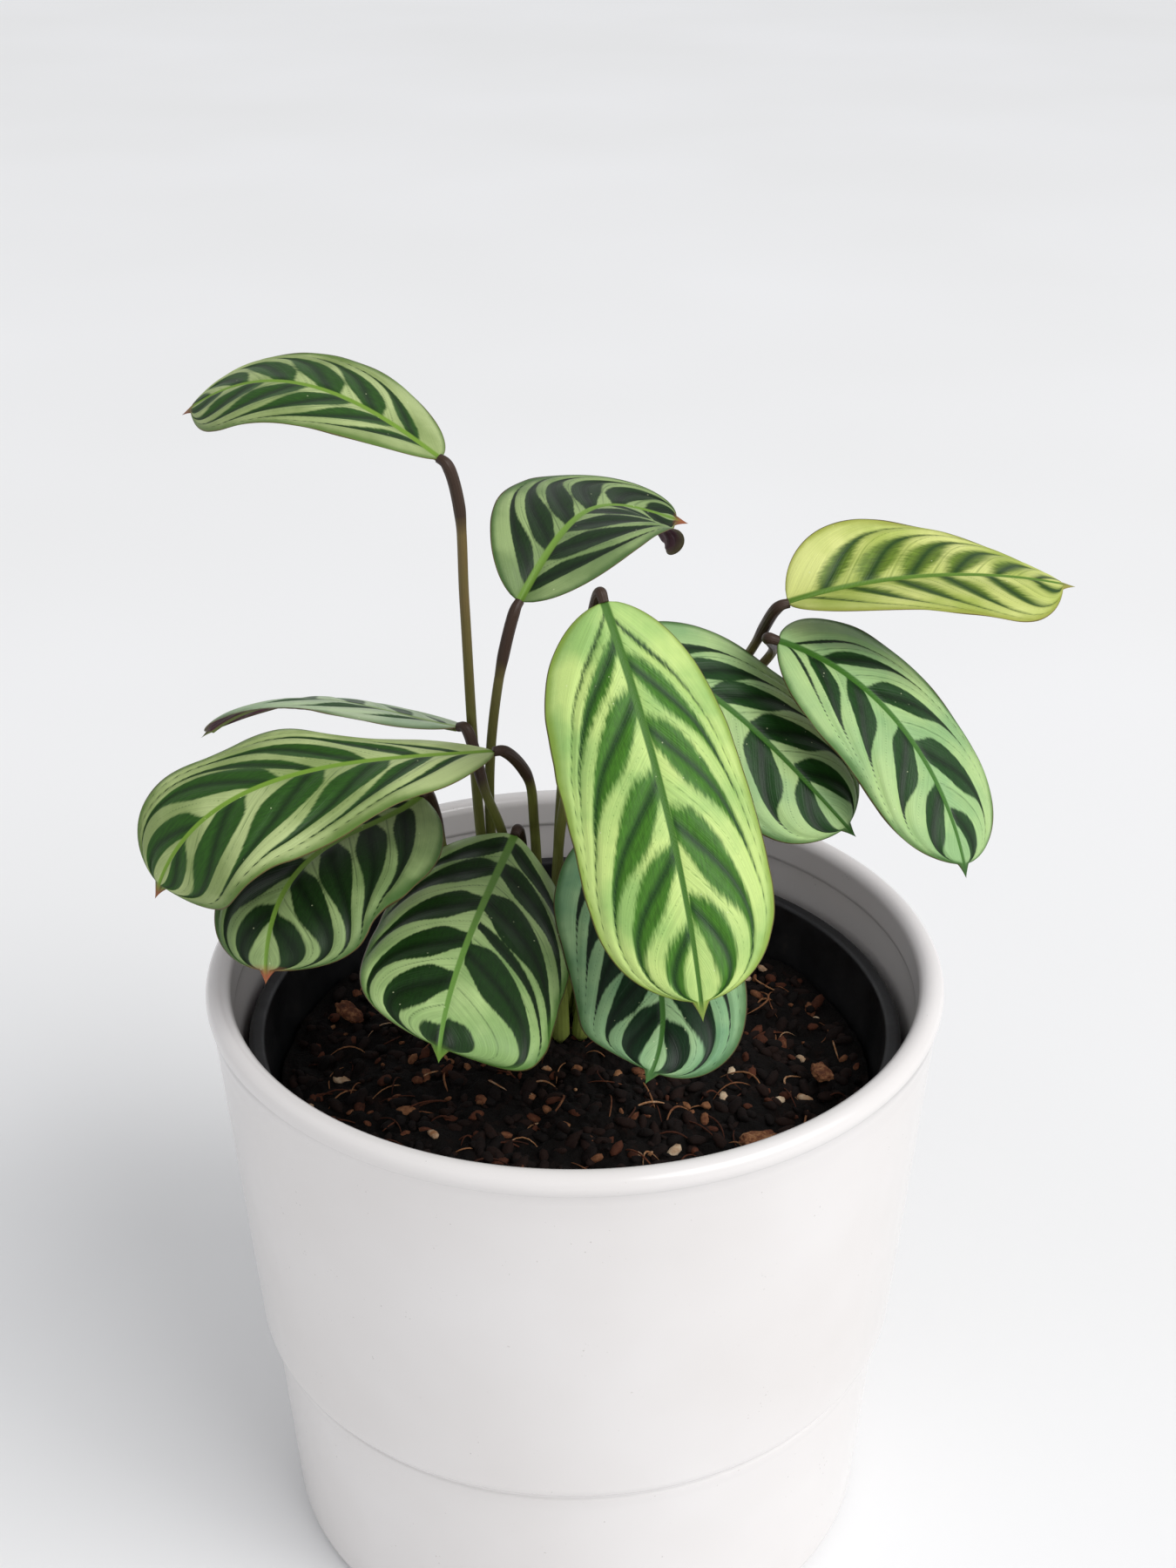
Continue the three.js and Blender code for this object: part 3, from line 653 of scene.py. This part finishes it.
def outline(u, ends):
    """Half width as a share of the widest: (1 - low^base)^0.55 * (1 - high^tip)^0.6, where low and high
    run from the shoulder to the two ends, then a small pointed tip."""
    base, tip = ends
    along = np.minimum(u / CUSP_START, 1)
    low = np.maximum(1 - along / SHOULDER, 0)
    high = np.maximum((along - SHOULDER) / (1 - SHOULDER), 0)
    body = (1 - low**base) ** 0.55 * (1 - high**tip) ** 0.6
    cusp = CUSP_HALF * np.minimum((1 - u) / CUSP_LENGTH, 1) ** 1.3
    return np.where(u < SHOULDER, body, np.maximum(body, cusp))


def band_fields(spec, look, u, v, length):
    """Distances in mm from each point to the nearest band's edge (negative inside), to its centre line and
    to the thin vein between two bands. A side vein starts at the midrib and leans towards the tip by
    lean * (0.28 w + 0.45 w^6) of the length, where w is the share of the way out to the margin."""
    w = np.abs(v)
    vein = u - look["lean"] * (0.28 * w + 0.45 * w**6)
    wide = (0.45 + 0.55 * smooth(0, 0.3, w)) * (1 - smooth(0.3, look["reach"], w))
    edge, centre, between = (np.full(np.broadcast(u, v).shape, 99.0) for _ in range(3))
    for side, bands in enumerate(spec["bands"]):
        here = (v < 0) if side == 0 else (v >= 0)
        places = np.array([at for at, _ in bands])
        for at, size in bands:
            away = np.abs(vein - at)
            inside = (away - size * look["belly"] * wide) * length - BAND_LINE
            edge = np.where(here, np.minimum(edge, inside), edge)
            centre = np.where(here, np.minimum(centre, away * length), centre)
        for at in (places[:-1] + places[1:]) / 2:
            between = np.where(here, np.minimum(between, np.abs(vein - at) * length), between)
    return edge, centre, between, vein * length


def blade_surface(spec, number):
    """Both faces of a blade. Each half of its section is an arc, lifted by fold and rolled by curl, scaled
    by the outline. Relief: a groove over the midrib, its ridge below, and a swell between side veins."""
    u = np.concatenate([np.linspace(0, 0.9, BLADE_ROWS), np.linspace(0.9, 1, TIP_ROWS + 1)[1:]])[:, None]
    share = np.linspace(-1, 1, BLADE_COLUMNS + 1)[None, :]
    v = np.sign(share) * np.abs(share) ** 0.85
    place, along, length = midrib(spec, u[:, 0])
    base, middle, tip = (towards(*face) for face in spec["face"])
    up = 2 * (u - 0.5) * (u - 1) * base - 4 * u * (u - 1) * middle + 2 * u * (u - 0.5) * tip
    across = unit(np.cross(along, up))
    up = np.cross(across, along)
    side = (v >= 0).astype(int)
    fold, curl = (np.radians((1 - u) * np.array(spec[key][0])[side] + u * np.array(spec[key][1])[side])
                  for key in ("fold", "curl"))
    curl = np.where(np.abs(curl) < 1e-3, 1e-3, curl)
    ragged = 1 + 0.02 * (noise(vectors(u * length, side * 40.0, number * 9.0), 4, 6) - 0.5)
    width = np.array(spec["half"])[side] * outline(u, spec["ends"]) * ragged
    angle = fold + curl * np.abs(v)
    out = (np.sin(angle) - np.sin(fold)) / curl * width
    rise = (np.cos(fold) - np.cos(angle)) / curl * width
    ripple = spec.get("wave", 0) * np.sin(2 * np.pi * (2.5 * u + 0.2 + 0.3 * (1 - side)))
    look = LOOKS[spec["look"]]
    edge, centre, between, vein = band_fields(spec, look, u, v, length)
    from_rib = np.abs(v) * width
    margin = (1 - np.abs(v)) * width
    rib_half = 0.3 + 0.5 * (1 - u) ** 0.8
    swell = 0.5 * (smooth(0, 4, centre) - 0.5) * smooth(0.5, 4, from_rib) * smooth(0, 3, margin)
    flutter = noise(vectors(vein, from_rib * 0.3, number * 31.0), 7, 8) - 0.5
    relief = swell + 0.9 * flutter * np.abs(v) ** 3 * np.sin(np.pi * u)
    skin = BLADE_THICKNESS / 2 * np.sqrt(1 - v**2) * np.minimum(width / 2, 1)
    groove = 0.3 * np.exp(-((from_rib / (1.1 * rib_half)) ** 2)) * np.minimum(width / 2, 1)
    sweep = np.array(spec.get("sweep", (0, 0)))[side]
    shared = place[:, None] + across[:, None] * (np.sign(v) * out)[..., None]
    shared = shared + along[:, None] * (sweep * out)[..., None]
    height = rise + ripple * v**2 * np.sin(np.pi * u) + relief
    top = shared + up[:, None] * (height + skin - groove)[..., None]
    under = shared + up[:, None] * (height - skin - 2.2 * groove)[..., None]
    shape = np.broadcast(u, v).shape
    spine = vectors(from_rib / rib_half, (1 - u) * length, np.abs(v))
    flow = vectors(v * width, vein, between)
    marks = vectors(edge, centre, margin)
    return np.concatenate([top, under]), shape, {"spine": spine, "flow": flow, "marks": marks}


def leaf_upper(name, look):
    """Waxy upper side of a living leaf: chlorophyll bands with frayed edges, fine parallel veins pressed
    into the surface, pale specks, and a satin cuticle that shines along the swells."""
    material, tree, place = new_material(name)
    flow, marks, spine = (node(tree, "Attribute", attribute_name=field).outputs["Vector"]
                          for field in ("flow", "marks", "spine"))
    band, centre, margin = node(tree, "SeparateXYZ", {"Vector": marks}).outputs
    rib, from_tip, _ = node(tree, "SeparateXYZ", {"Vector": spine}).outputs
    between = node(tree, "SeparateXYZ", {"Vector": flow}).outputs["Z"]

    # Streaks that run across the bands fray their edges; a cloud pattern lets the ground change tone.
    across = node(tree, "VectorMath", {0: flow, 1: (2.6, 0.5, 0)}, operation="MULTIPLY")
    streaks = node(tree, "TexNoise", {"Vector": across, "Scale": 1, "Detail": 3})
    fray = node(tree, "Math", {0: streaks, 1: look["fray"] * 2, 2: -look["fray"]},
                operation="MULTIPLY_ADD")
    frayed = node(tree, "Math", {0: band, 1: fray}, operation="ADD")
    dark = node(tree, "MapRange", {"Value": frayed, "From Min": look["soft"], "From Max": -look["soft"]},
                interpolation_type="SMOOTHSTEP")
    cloud = node(tree, "TexNoise", {"Vector": place, "Scale": 70, "Detail": 4})
    ground = node(tree, "ValToRGB", {"Fac": cloud}, stops=[(0.38, look["second"]), (0.6, look["pale"])])

    # Fine veins lie along the side veins, 0.5 mm apart; one thin dark vein lies between two bands.
    along = node(tree, "VectorMath", {0: flow, 1: (0.12, 2.4, 0)}, operation="MULTIPLY")
    fine = node(tree, "TexNoise", {"Vector": along, "Scale": 1, "Detail": 3})
    tint = node(tree, "MapRange",
                {"Value": fine, "From Min": 0.3, "From Max": 0.7, "To Min": 0.86, "To Max": 1.1})
    veined = node(tree, "VectorMath", {0: ground, 3: tint}, operation="SCALE")
    thin = node(tree, "MapRange",
                {"Value": between, "From Min": 0.1, "From Max": 0.3, "To Min": 0.45, "To Max": 0.0})
    lined = node(tree, "Mix", {"Factor": thin, "A": veined, "B": linear(look["dark"])}, data_type="RGBA")

    # The band: darkest along its centre line, mottled where the green cells thin out.
    core = node(tree, "MapRange",
                {"Value": centre, "From Min": 0.2, "From Max": 1.8, "To Min": 1.0, "To Max": 0.0})
    green = node(tree, "Mix", {"Factor": core, "A": linear(look["dark"]), "B": linear(look["line"])},
                 data_type="RGBA")
    mottle = node(tree, "MapRange",
                  {"Value": streaks, "From Min": 0.25, "From Max": 0.75, "To Min": 0.75, "To Max": 1.35})
    mottled = node(tree, "VectorMath", {0: green, 3: mottle}, operation="SCALE")
    banded = node(tree, "Mix", {"Factor": dark, "A": lined, "B": mottled}, data_type="RGBA")

    # Margin, midrib and the dry brown point of the tip are painted over the bands.
    wander = node(tree, "Math", {0: cloud, 1: 2.2, 2: margin}, operation="MULTIPLY_ADD")
    border = node(tree, "MapRange", {"Value": wander, "From Min": 1.3, "From Max": 3.0, "To Min": 0.85,
                                     "To Max": 0.0}, interpolation_type="SMOOTHSTEP")
    bordered = node(tree, "Mix", {"Factor": border, "A": banded, "B": linear(look["margin"])},
                    data_type="RGBA")
    brim = node(tree, "MapRange",
                {"Value": margin, "From Min": 0.12, "From Max": 0.3, "To Min": 0.7, "To Max": 0.0})
    brimmed = node(tree, "Mix", {"Factor": brim, "A": bordered, "B": linear("#6B4A33")}, data_type="RGBA")
    keel = node(tree, "MapRange", {"Value": rib, "From Min": 0.7, "From Max": 1.25, "To Min": 1.0,
                                   "To Max": 0.0}, interpolation_type="SMOOTHSTEP")
    ribbed = node(tree, "Mix", {"Factor": keel, "A": brimmed, "B": linear(look["rib"])}, data_type="RGBA")
    point = node(tree, "MapRange",
                 {"Value": from_tip, "From Min": 1.5, "From Max": 3.5, "To Min": 0.9, "To Max": 0.0})
    pointed = node(tree, "Mix", {"Factor": point, "A": ribbed, "B": linear(look["point"])},
                   data_type="RGBA")

    # Pale specks of dust and hard water, drawn at 0.25 mm, as coarse as they need to be to show.
    dots = node(tree, "TexVoronoi", {"Vector": place, "Scale": 1 / (2.2 * MM)})
    speck = node(tree, "MapRange",
                 {"Value": dots, "From Min": 0.03, "From Max": 0.08, "To Min": 1.0, "To Max": 0.0})
    rare = node(tree, "Math", {0: cloud, 1: 0.52}, operation="GREATER_THAN")
    dusty = node(tree, "Math", {0: speck, 1: rare}, operation="MULTIPLY")
    dust = node(tree, "Math", {0: dusty, 1: 0.5}, operation="MULTIPLY")
    colour = node(tree, "Mix", {"Factor": dust, "A": pointed, "B": linear("#D9E2B4")}, data_type="RGBA")

    press = node(tree, "Bump", {"Height": fine, "Strength": 0.35, "Distance": 0.25 * MM})
    cells = node(tree, "TexNoise", {"Vector": place, "Scale": 1800, "Detail": 2})
    skin = node(tree, "Bump", {"Height": cells, "Strength": 0.15, "Distance": 0.1 * MM, "Normal": press})
    matt = node(tree, "MapRange", {"Value": fine, "To Min": 0.36, "To Max": 0.52})
    shader = node(tree, "BsdfPrincipled", {"Base Color": colour, "Roughness": matt, "IOR": 1.45,
                                           "Specular IOR Level": 0.3, "Normal": skin})
    node(tree, "OutputMaterial", {"Surface": shader})
    return material


def leaf_under():
    """Underside of the leaf: wine-purple from anthocyanin, matt, with a pale green ridge of midrib and
    the side veins showing through as darker lines."""
    material, tree, place = new_material("leaf_underside")
    flow, marks, spine = (node(tree, "Attribute", attribute_name=field).outputs["Vector"]
                          for field in ("flow", "marks", "spine"))
    band, _, margin = node(tree, "SeparateXYZ", {"Vector": marks}).outputs
    rib = node(tree, "SeparateXYZ", {"Vector": spine}).outputs["X"]
    cloud = node(tree, "TexNoise", {"Vector": place, "Scale": 90, "Detail": 5})
    wine = node(tree, "ValToRGB", {"Fac": cloud}, stops=[(0.35, "#4A2733"), (0.65, "#6E4450")])
    dark = node(tree, "MapRange",
                {"Value": band, "From Min": 0.8, "From Max": -0.8, "To Min": 0.0, "To Max": 0.6})
    banded = node(tree, "Mix", {"Factor": dark, "A": wine, "B": linear("#33161F")}, data_type="RGBA")
    border = node(tree, "MapRange",
                  {"Value": margin, "From Min": 0.4, "From Max": 2.0, "To Min": 0.7, "To Max": 0.0})
    bordered = node(tree, "Mix", {"Factor": border, "A": banded, "B": linear("#6B6A3E")},
                    data_type="RGBA")
    keel = node(tree, "MapRange",
                {"Value": rib, "From Min": 0.9, "From Max": 1.5, "To Min": 1.0, "To Max": 0.0})
    colour = node(tree, "Mix", {"Factor": keel, "A": bordered, "B": linear("#7C8A4A")}, data_type="RGBA")
    along = node(tree, "VectorMath", {0: flow, 1: (0.12, 2.0, 0)}, operation="MULTIPLY")
    fine = node(tree, "TexNoise", {"Vector": along, "Scale": 1, "Detail": 3})
    skin = node(tree, "Bump", {"Height": fine, "Strength": 0.5, "Distance": 0.3 * MM})
    matt = node(tree, "MapRange", {"Value": fine, "To Min": 0.5, "To Max": 0.68})
    shader = node(tree, "BsdfPrincipled", {"Base Color": colour, "Roughness": matt, "IOR": 1.45,
                                           "Specular IOR Level": 0.3, "Normal": skin})
    node(tree, "OutputMaterial", {"Surface": shader})
    return material


uppers = {key: leaf_upper(f"leaf_upper_{key}", look) for key, look in LOOKS.items()}
under_material = leaf_under()


def leaf_blade(number, spec):
    """The two faces of a blade joined along their margin: upper faces first, then the underside's."""
    points, (rows, columns), fields = blade_surface(spec, number)
    one = quads(rows, columns)
    faces = np.concatenate([one[:, ::-1], one + rows * columns])
    attributes = {key: np.concatenate([values, values]) for key, values in fields.items()}
    under = np.repeat([0, 1], len(one))
    materials = [uppers[spec["look"]], under_material]
    return build(f"leaf_{number}_patterned", points, faces, materials, attributes, under)


for number, spec in enumerate(LEAVES, start=1):
    piece = leaf_blade(number, spec)
    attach(piece, "root")
    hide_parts(f"leaf_blade_{number}")


# ---------------------------------------------------------------------------------------------------
# Stems: each leaf has one round petiole that grows from the clump. It is stout and sheathed at its
# foot, olive above, and ends in a dark, slightly swollen joint that turns the blade to the light.

STEM_RADIUS = 1.0
JOINT_LENGTH = 13  # the dark swollen joint under each blade
SHEATH_LENGTH = 34
ROOT_DEPTH = 1.2  # how far a foot reaches into the peat
STEM_SIDES = 20


def on_line(a, b, start, end, s):
    """The point at knot s of the line that runs from a at knot start to b at knot end."""
    return (end - s) / (end - start) * a + (s - start) / (end - start) * b


def centripetal(points, steps):
    """Smooth path through points: Catmull-Rom pieces, knots spaced by the square root of the gaps."""
    points = np.array(points, float)
    points = np.concatenate([[2 * points[0] - points[1]], points, [2 * points[-1] - points[-2]]])
    pieces = []
    for p in (points[i : i + 4] for i in range(len(points) - 3)):
        t = np.concatenate([[0], np.cumsum(np.sqrt(np.linalg.norm(np.diff(p, axis=0), axis=1)))])
        s = np.linspace(t[1], t[2], steps, endpoint=False)[:, None]
        a = [on_line(p[i], p[i + 1], t[i], t[i + 1], s) for i in range(3)]
        b = [on_line(a[i], a[i + 1], t[i], t[i + 2], s) for i in range(2)]
        pieces.append(on_line(*b, t[1], t[2], s))
    return np.concatenate([*pieces, points[-2:-1]])


def tube(path, radius, sides):
    """Circles of the given radii carried along a path without twist: each frame is the last one, turned
    only as far as the path turns."""
    along = unit(np.gradient(path, axis=0))
    across = np.zeros_like(path)
    across[0] = unit(np.cross(along[0], [0.0, 1.0, 0.2]))
    for i in range(1, len(path)):
        across[i] = unit(across[i - 1] - along[i] * (across[i - 1] @ along[i]))
    angle = full_circle(sides)[None, :, None]
    other = np.cross(along, across)
    ring = across[:, None] * np.cos(angle) + other[:, None] * np.sin(angle)
    return path[:, None] + ring * radius[:, None, None]


def stem_skin():
    """Smooth petiole: yellow-green flesh flushed brown, purple-brown joint, fine lengthwise ribs."""
    material, tree, place = new_material("petiole_skin")
    grow = node(tree, "Attribute", attribute_name="grow").outputs["Vector"]
    from_leaf, height, around = node(tree, "SeparateXYZ", {"Vector": grow}).outputs
    blotch = node(tree, "TexNoise", {"Vector": place, "Scale": 240, "Detail": 4})
    climb = node(tree, "MapRange", {"Value": height, "From Min": 0, "From Max": 110})
    drift = node(tree, "Math", {0: blotch, 1: 0.3, 2: climb}, operation="MULTIPLY_ADD")
    flesh = node(tree, "ValToRGB", {"Fac": drift},
                 stops=[(0.1, "#8A9A4A"), (0.35, "#6F7A36"), (0.75, "#5E5A2C"), (1.0, "#6A5A34")])
    ragged = node(tree, "Math", {0: blotch, 1: 5, 2: from_leaf}, operation="MULTIPLY_ADD")
    joint = node(tree, "MapRange", {"Value": ragged, "From Min": JOINT_LENGTH + 1,
                                    "From Max": JOINT_LENGTH + 5, "To Min": 1.0, "To Max": 0.0})
    colour = node(tree, "Mix", {"Factor": joint, "A": flesh, "B": linear("#3A2A20")}, data_type="RGBA")
    lines = node(tree, "Math", {0: around, 1: 14}, operation="MULTIPLY")
    ribs = node(tree, "Math", {0: lines}, operation="SINE")
    skin = node(tree, "Bump", {"Height": ribs, "Strength": 0.2, "Distance": 0.15 * MM})
    grain = node(tree, "Bump", {"Height": blotch, "Strength": 0.4, "Distance": 0.2 * MM, "Normal": skin})
    matt = node(tree, "MapRange", {"Value": blotch, "To Min": 0.38, "To Max": 0.55})
    shader = node(tree, "BsdfPrincipled", {"Base Color": colour, "Roughness": matt, "IOR": 1.45,
                                           "Specular IOR Level": 0.35, "Normal": grain})
    node(tree, "OutputMaterial", {"Surface": shader})
    return material


def leaf_stem(number, spec, material):
    """A tube along the stem's path whose radius tapers from the sheathed foot, dips above it, swells at
    the joint and runs out under the blade's midrib."""
    base, along, _ = midrib(spec, np.array([0.0, 0.03]))
    path = centripetal([*spec["stem"], base[0] - 1.5 * along[0], base[0] + 0.3 * along[0]], 26)
    walked = walked_along(path)
    from_leaf = walked[-1] - walked
    sheath = 0.9 * (1 - smooth(0, SHEATH_LENGTH, walked))
    joint = 0.22 * smooth(0, 3, from_leaf) * (1 - smooth(JOINT_LENGTH - 3, JOINT_LENGTH + 2, from_leaf))
    radius = STEM_RADIUS + sheath + joint - 0.12 * smooth(0, 1, walked / walked[-1])
    radius[0], radius[-1] = 0.0, 0.0
    path[0, 2] -= ROOT_DEPTH
    points = tube(path, radius, STEM_SIDES)
    angle = full_circle(STEM_SIDES)
    grow = vectors(from_leaf[:, None], path[:, 2:] - SOIL_TOP, angle)
    faces = quads(len(path), STEM_SIDES, wrap=True)
    return build(f"stem_{number}_tapered", points, faces, [material], {"grow": grow})


stem_material = stem_skin()
for number, spec in enumerate(LEAVES, start=1):
    piece = leaf_stem(number, spec, stem_material)
    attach(piece, "root")
    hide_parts(f"leaf_stem_{number}")


# ---------------------------------------------------------------------------------------------------
# Stage: a plain pale floor that fills the view, soft light from the right and front, and the camera.

def plain_floor():
    """Matt white painted board, with the faintest unevenness."""
    material, tree, place = new_material("pale_floor")
    cloud = node(tree, "TexNoise", {"Vector": place, "Scale": 3, "Detail": 2})
    colour = node(tree, "ValToRGB", {"Fac": cloud}, stops=[(0.3, "#ECECEC"), (0.7, "#F0F0F1")])
    shader = node(tree, "BsdfPrincipled",
                  {"Base Color": colour, "Roughness": 0.9, "Specular IOR Level": 0.1})
    node(tree, "OutputMaterial", {"Surface": shader})
    return material


FLOOR_HALF = 4000
corners = np.array([[-1, -1, 0], [1, -1, 0], [1, 1, 0], [-1, 1, 0]]) * float(FLOOR_HALF)
floor = build("floor", corners, np.array([[0, 1, 2, 3]]), [plain_floor()])


def softbox(name, place, target, size, power, colour):
    """A square area light at a place, turned to shine on the target."""
    lamp = bpy.data.lights.new(name, "AREA")
    lamp.size, lamp.energy, lamp.color = size, power, colour
    made = add_object(name, lamp)
    made.location = place
    aim = np.array(target) - np.array(place)
    flat = math.hypot(aim[0], aim[1])
    made.rotation_euler = (math.atan2(flat, -aim[2]), 0, math.atan2(aim[1], aim[0]) - math.pi / 2)


softbox("window_right", (1.3, -0.5, 1.25), (0, 0, 0.1), 1.1, 9, (1.0, 0.99, 0.97))
softbox("fill_front", (-0.7, -1.3, 0.9), (0, 0, 0.12), 1.6, 1.5, (0.97, 0.98, 1.0))

daylight = bpy.data.lights.new("daylight", "SUN")
daylight.energy, daylight.angle = 1.35, math.radians(40)
sun = add_object("daylight", daylight)
sun.rotation_euler = (math.radians(28), math.radians(38), 0)

world = bpy.data.worlds.new("studio")
world.use_nodes = True
sky = world.node_tree.nodes["Background"]
sky.inputs["Color"].default_value = (0.97, 0.98, 1.0, 1)
sky.inputs["Strength"].default_value = 0.6
bpy.context.scene.world = world

camera = bpy.data.cameras.new("camera")
camera.lens, camera.sensor_width, camera.sensor_fit = 50, 36, "AUTO"
camera.clip_end = 20
eye = add_object("camera", camera)
eye.location = (0.0024, -0.345, 0.3336)
eye.rotation_euler = (math.radians(62.7), 0, 0)
bpy.context.scene.camera = eye
bpy.context.scene.view_settings.view_transform = "Standard"
